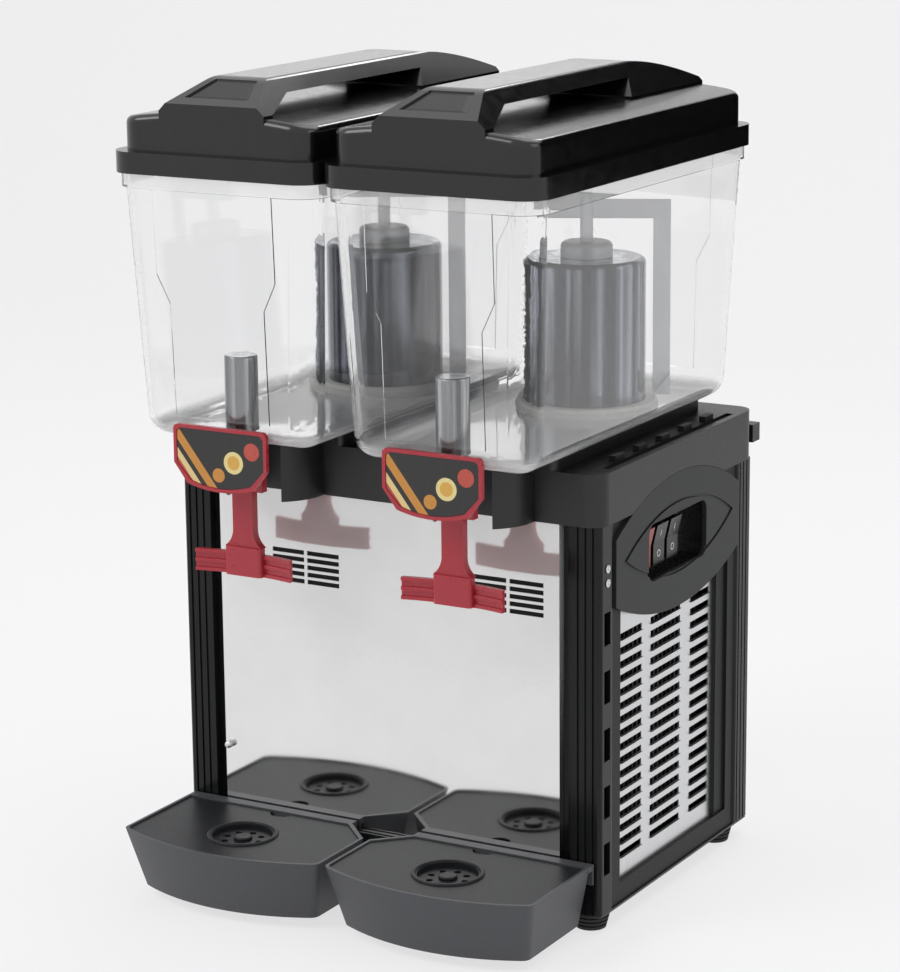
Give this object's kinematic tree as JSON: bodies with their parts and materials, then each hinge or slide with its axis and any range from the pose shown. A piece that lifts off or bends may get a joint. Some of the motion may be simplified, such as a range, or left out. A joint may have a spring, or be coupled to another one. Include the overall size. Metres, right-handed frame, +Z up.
{
  "type": "refrigerated juice dispenser",
  "caption": "Countertop cold drink dispenser with clear twin bowls over a steel cabinet, push lever taps, stirred evaporators, lids with arched grips and lift-off drip trays.",
  "frame": {"origin": "on the table under the middle of the outline, trays and rear spacers included", "axes": "+X to the machine's right as seen from the front, +Y to the back, +Z up"},
  "size_m": [0.414, 0.448, 0.71],
  "materials": {
    "deck_plastic": "black moulded plastic",
    "lid_plastic": "glossy black plastic",
    "post_plastic": "dark extruded plastic",
    "frame_plastic": "dark grey plastic",
    "switch_plastic": "black switch plastic",
    "red_switch_plastic": "red switch plastic",
    "tray_plastic": "grey plastic",
    "tray_cover_plastic": "grey plastic",
    "clear_bowl": "clear polycarbonate",
    "clear_agitator": "clear polycarbonate",
    "seal_rubber": "pale silicone",
    "lever_plastic": "red plastic",
    "card_print": "printed card",
    "polished_steel": "polished stainless steel",
    "satin_steel": "satin stainless steel",
    "base_metal": "galvanised sheet",
    "foot_rubber": "black rubber",
    "motor_metal": "black enamel",
    "gearbox_plastic": "grey nylon",
    "condenser_metal": "bare aluminium",
    "copper": "copper"
  },
  "bodies": {
    "cabinet": {"base_pan": "base_metal", "feet": "foot_rubber", "front_left_post": "post_plastic", "front_right_post": "post_plastic", "rear_left_post": "post_plastic", "rear_right_post": "post_plastic", "front_panel": "polished_steel", "left_side_frame": "frame_plastic", "right_side_frame": "frame_plastic", "left_side_grille": "satin_steel", "right_side_grille": "satin_steel", "switch_bezel": "frame_plastic", "switch_housing": "switch_plastic", "rear_panel": "satin_steel", "cable_gland": "foot_rubber", "top_deck": "deck_plastic", "rear_spacers": "deck_plastic", "tray_hanger": "satin_steel", "evaporator_left": "satin_steel", "evaporator_right": "satin_steel", "gear_motor_left": "gearbox_plastic", "gear_motor_right": "gearbox_plastic", "compressor": "motor_metal", "compressor_mounts": "foot_rubber", "condenser": "condenser_metal", "fan_shroud": "base_metal", "fan_motor": "motor_metal", "filter_drier": "copper", "refrigerant_lines": "copper", "control_box": "gearbox_plastic", "thermostat": "gearbox_plastic", "panel_screws": "satin_steel"},
    "bowl_left": {"bowl_left": "clear_bowl", "bowl_seal_left": "seal_rubber"},
    "lid_left": {"lid_left": "lid_plastic"},
    "lever_left": {"lever_left": "lever_plastic", "lever_card_left": "card_print", "lever_pin_left": "satin_steel"},
    "piston_left": {"tap_piston_left": "polished_steel", "piston_seal_left": "seal_rubber"},
    "agitator_left": {"agitator_left": "clear_agitator"},
    "shaft_left": {"drive_shaft_left": "satin_steel"},
    "tray_left": {"drip_tray_left": "tray_plastic"},
    "tray_cover_left": {"tray_cover_left": "tray_cover_plastic"},
    "bowl_right": {"bowl_right": "clear_bowl", "bowl_seal_right": "seal_rubber"},
    "lid_right": {"lid_right": "lid_plastic"},
    "lever_right": {"lever_right": "lever_plastic", "lever_card_right": "card_print", "lever_pin_right": "satin_steel"},
    "piston_right": {"tap_piston_right": "polished_steel", "piston_seal_right": "seal_rubber"},
    "agitator_right": {"agitator_right": "clear_agitator"},
    "shaft_right": {"drive_shaft_right": "satin_steel"},
    "tray_right": {"drip_tray_right": "tray_plastic"},
    "tray_cover_right": {"tray_cover_right": "tray_cover_plastic"},
    "fan": {"fan_blade": "gearbox_plastic"},
    "rocker_1": {"rocker_1": "red_switch_plastic"},
    "rocker_2": {"rocker_2": "switch_plastic"},
    "rocker_3": {"rocker_3": "switch_plastic"}
  },
  "joints": [
    {"name": "bowl_left_lift", "type": "slide", "parent": "cabinet", "child": "bowl_left", "axis": [0, 0, 1], "range_m": [0, 0.16]},
    {"name": "lid_left_lift", "type": "slide", "parent": "bowl_left", "child": "lid_left", "axis": [0, 0, 1], "range_m": [0, 0.08]},
    {"name": "lever_left_push", "type": "hinge", "parent": "bowl_left", "child": "lever_left", "pos_m": [-0.1015, -0.148, 0.383], "axis": [1, 0, 0], "range_deg": [0, 18], "stiffness_Nm_per_rad": 0.1, "springref_deg": -17.19},
    {"name": "piston_left_rise", "type": "slide", "parent": "bowl_left", "child": "piston_left", "axis": [0, 0, 1], "range_m": [0, 0.002]},
    {"name": "shaft_left_spin", "type": "hinge", "parent": "cabinet", "child": "shaft_left", "pos_m": [-0.1015, 0.082, 0.45], "axis": [0, 0, 1], "continuous": true},
    {"name": "agitator_left_spin", "type": "hinge", "parent": "bowl_left", "child": "agitator_left", "pos_m": [-0.1015, 0.082, 0.57], "axis": [0, 0, 1], "continuous": true},
    {"name": "tray_left_lift", "type": "slide", "parent": "cabinet", "child": "tray_left", "axis": [0, 0, 1], "range_m": [0, 0.04]},
    {"name": "tray_cover_left_lift", "type": "slide", "parent": "tray_left", "child": "tray_cover_left", "axis": [0, 0, 1], "range_m": [0, 0.06]},
    {"name": "bowl_right_lift", "type": "slide", "parent": "cabinet", "child": "bowl_right", "axis": [0, 0, 1], "range_m": [0, 0.16]},
    {"name": "lid_right_lift", "type": "slide", "parent": "bowl_right", "child": "lid_right", "axis": [0, 0, 1], "range_m": [0, 0.08]},
    {"name": "lever_right_push", "type": "hinge", "parent": "bowl_right", "child": "lever_right", "pos_m": [0.1015, -0.148, 0.383], "axis": [1, 0, 0], "range_deg": [0, 18], "stiffness_Nm_per_rad": 0.1, "springref_deg": -17.19},
    {"name": "piston_right_rise", "type": "slide", "parent": "bowl_right", "child": "piston_right", "axis": [0, 0, 1], "range_m": [0, 0.002]},
    {"name": "shaft_right_spin", "type": "hinge", "parent": "cabinet", "child": "shaft_right", "pos_m": [0.1015, 0.082, 0.45], "axis": [0, 0, 1], "continuous": true},
    {"name": "agitator_right_spin", "type": "hinge", "parent": "bowl_right", "child": "agitator_right", "pos_m": [0.1015, 0.082, 0.57], "axis": [0, 0, 1], "continuous": true},
    {"name": "tray_right_lift", "type": "slide", "parent": "cabinet", "child": "tray_right", "axis": [0, 0, 1], "range_m": [0, 0.04]},
    {"name": "tray_cover_right_lift", "type": "slide", "parent": "tray_right", "child": "tray_cover_right", "axis": [0, 0, 1], "range_m": [0, 0.06]},
    {"name": "fan_spin", "type": "hinge", "parent": "cabinet", "child": "fan", "pos_m": [0.15, 0.045, 0.135], "axis": [1, 0, 0], "continuous": true},
    {"name": "rocker_1_tip", "type": "hinge", "parent": "cabinet", "child": "rocker_1", "pos_m": [0.188, 0.013, 0.311], "axis": [0, -1, 0], "range_deg": [0, 14]},
    {"name": "rocker_2_tip", "type": "hinge", "parent": "cabinet", "child": "rocker_2", "pos_m": [0.188, 0.0395, 0.311], "axis": [0, -1, 0], "range_deg": [0, 14]},
    {"name": "rocker_3_tip", "type": "hinge", "parent": "cabinet", "child": "rocker_3", "pos_m": [0.188, 0.066, 0.311], "axis": [0, -1, 0], "range_deg": [0, 14]}
  ],
  "couplings": [
    {"joint": "piston_left_rise", "follows": "lever_left_push", "m_per_rad": 0.00636},
    {"joint": "shaft_left_spin", "follows": "agitator_left_spin", "ratio": 1},
    {"joint": "piston_right_rise", "follows": "lever_right_push", "m_per_rad": 0.00636},
    {"joint": "shaft_right_spin", "follows": "agitator_right_spin", "ratio": 1}
  ]
}
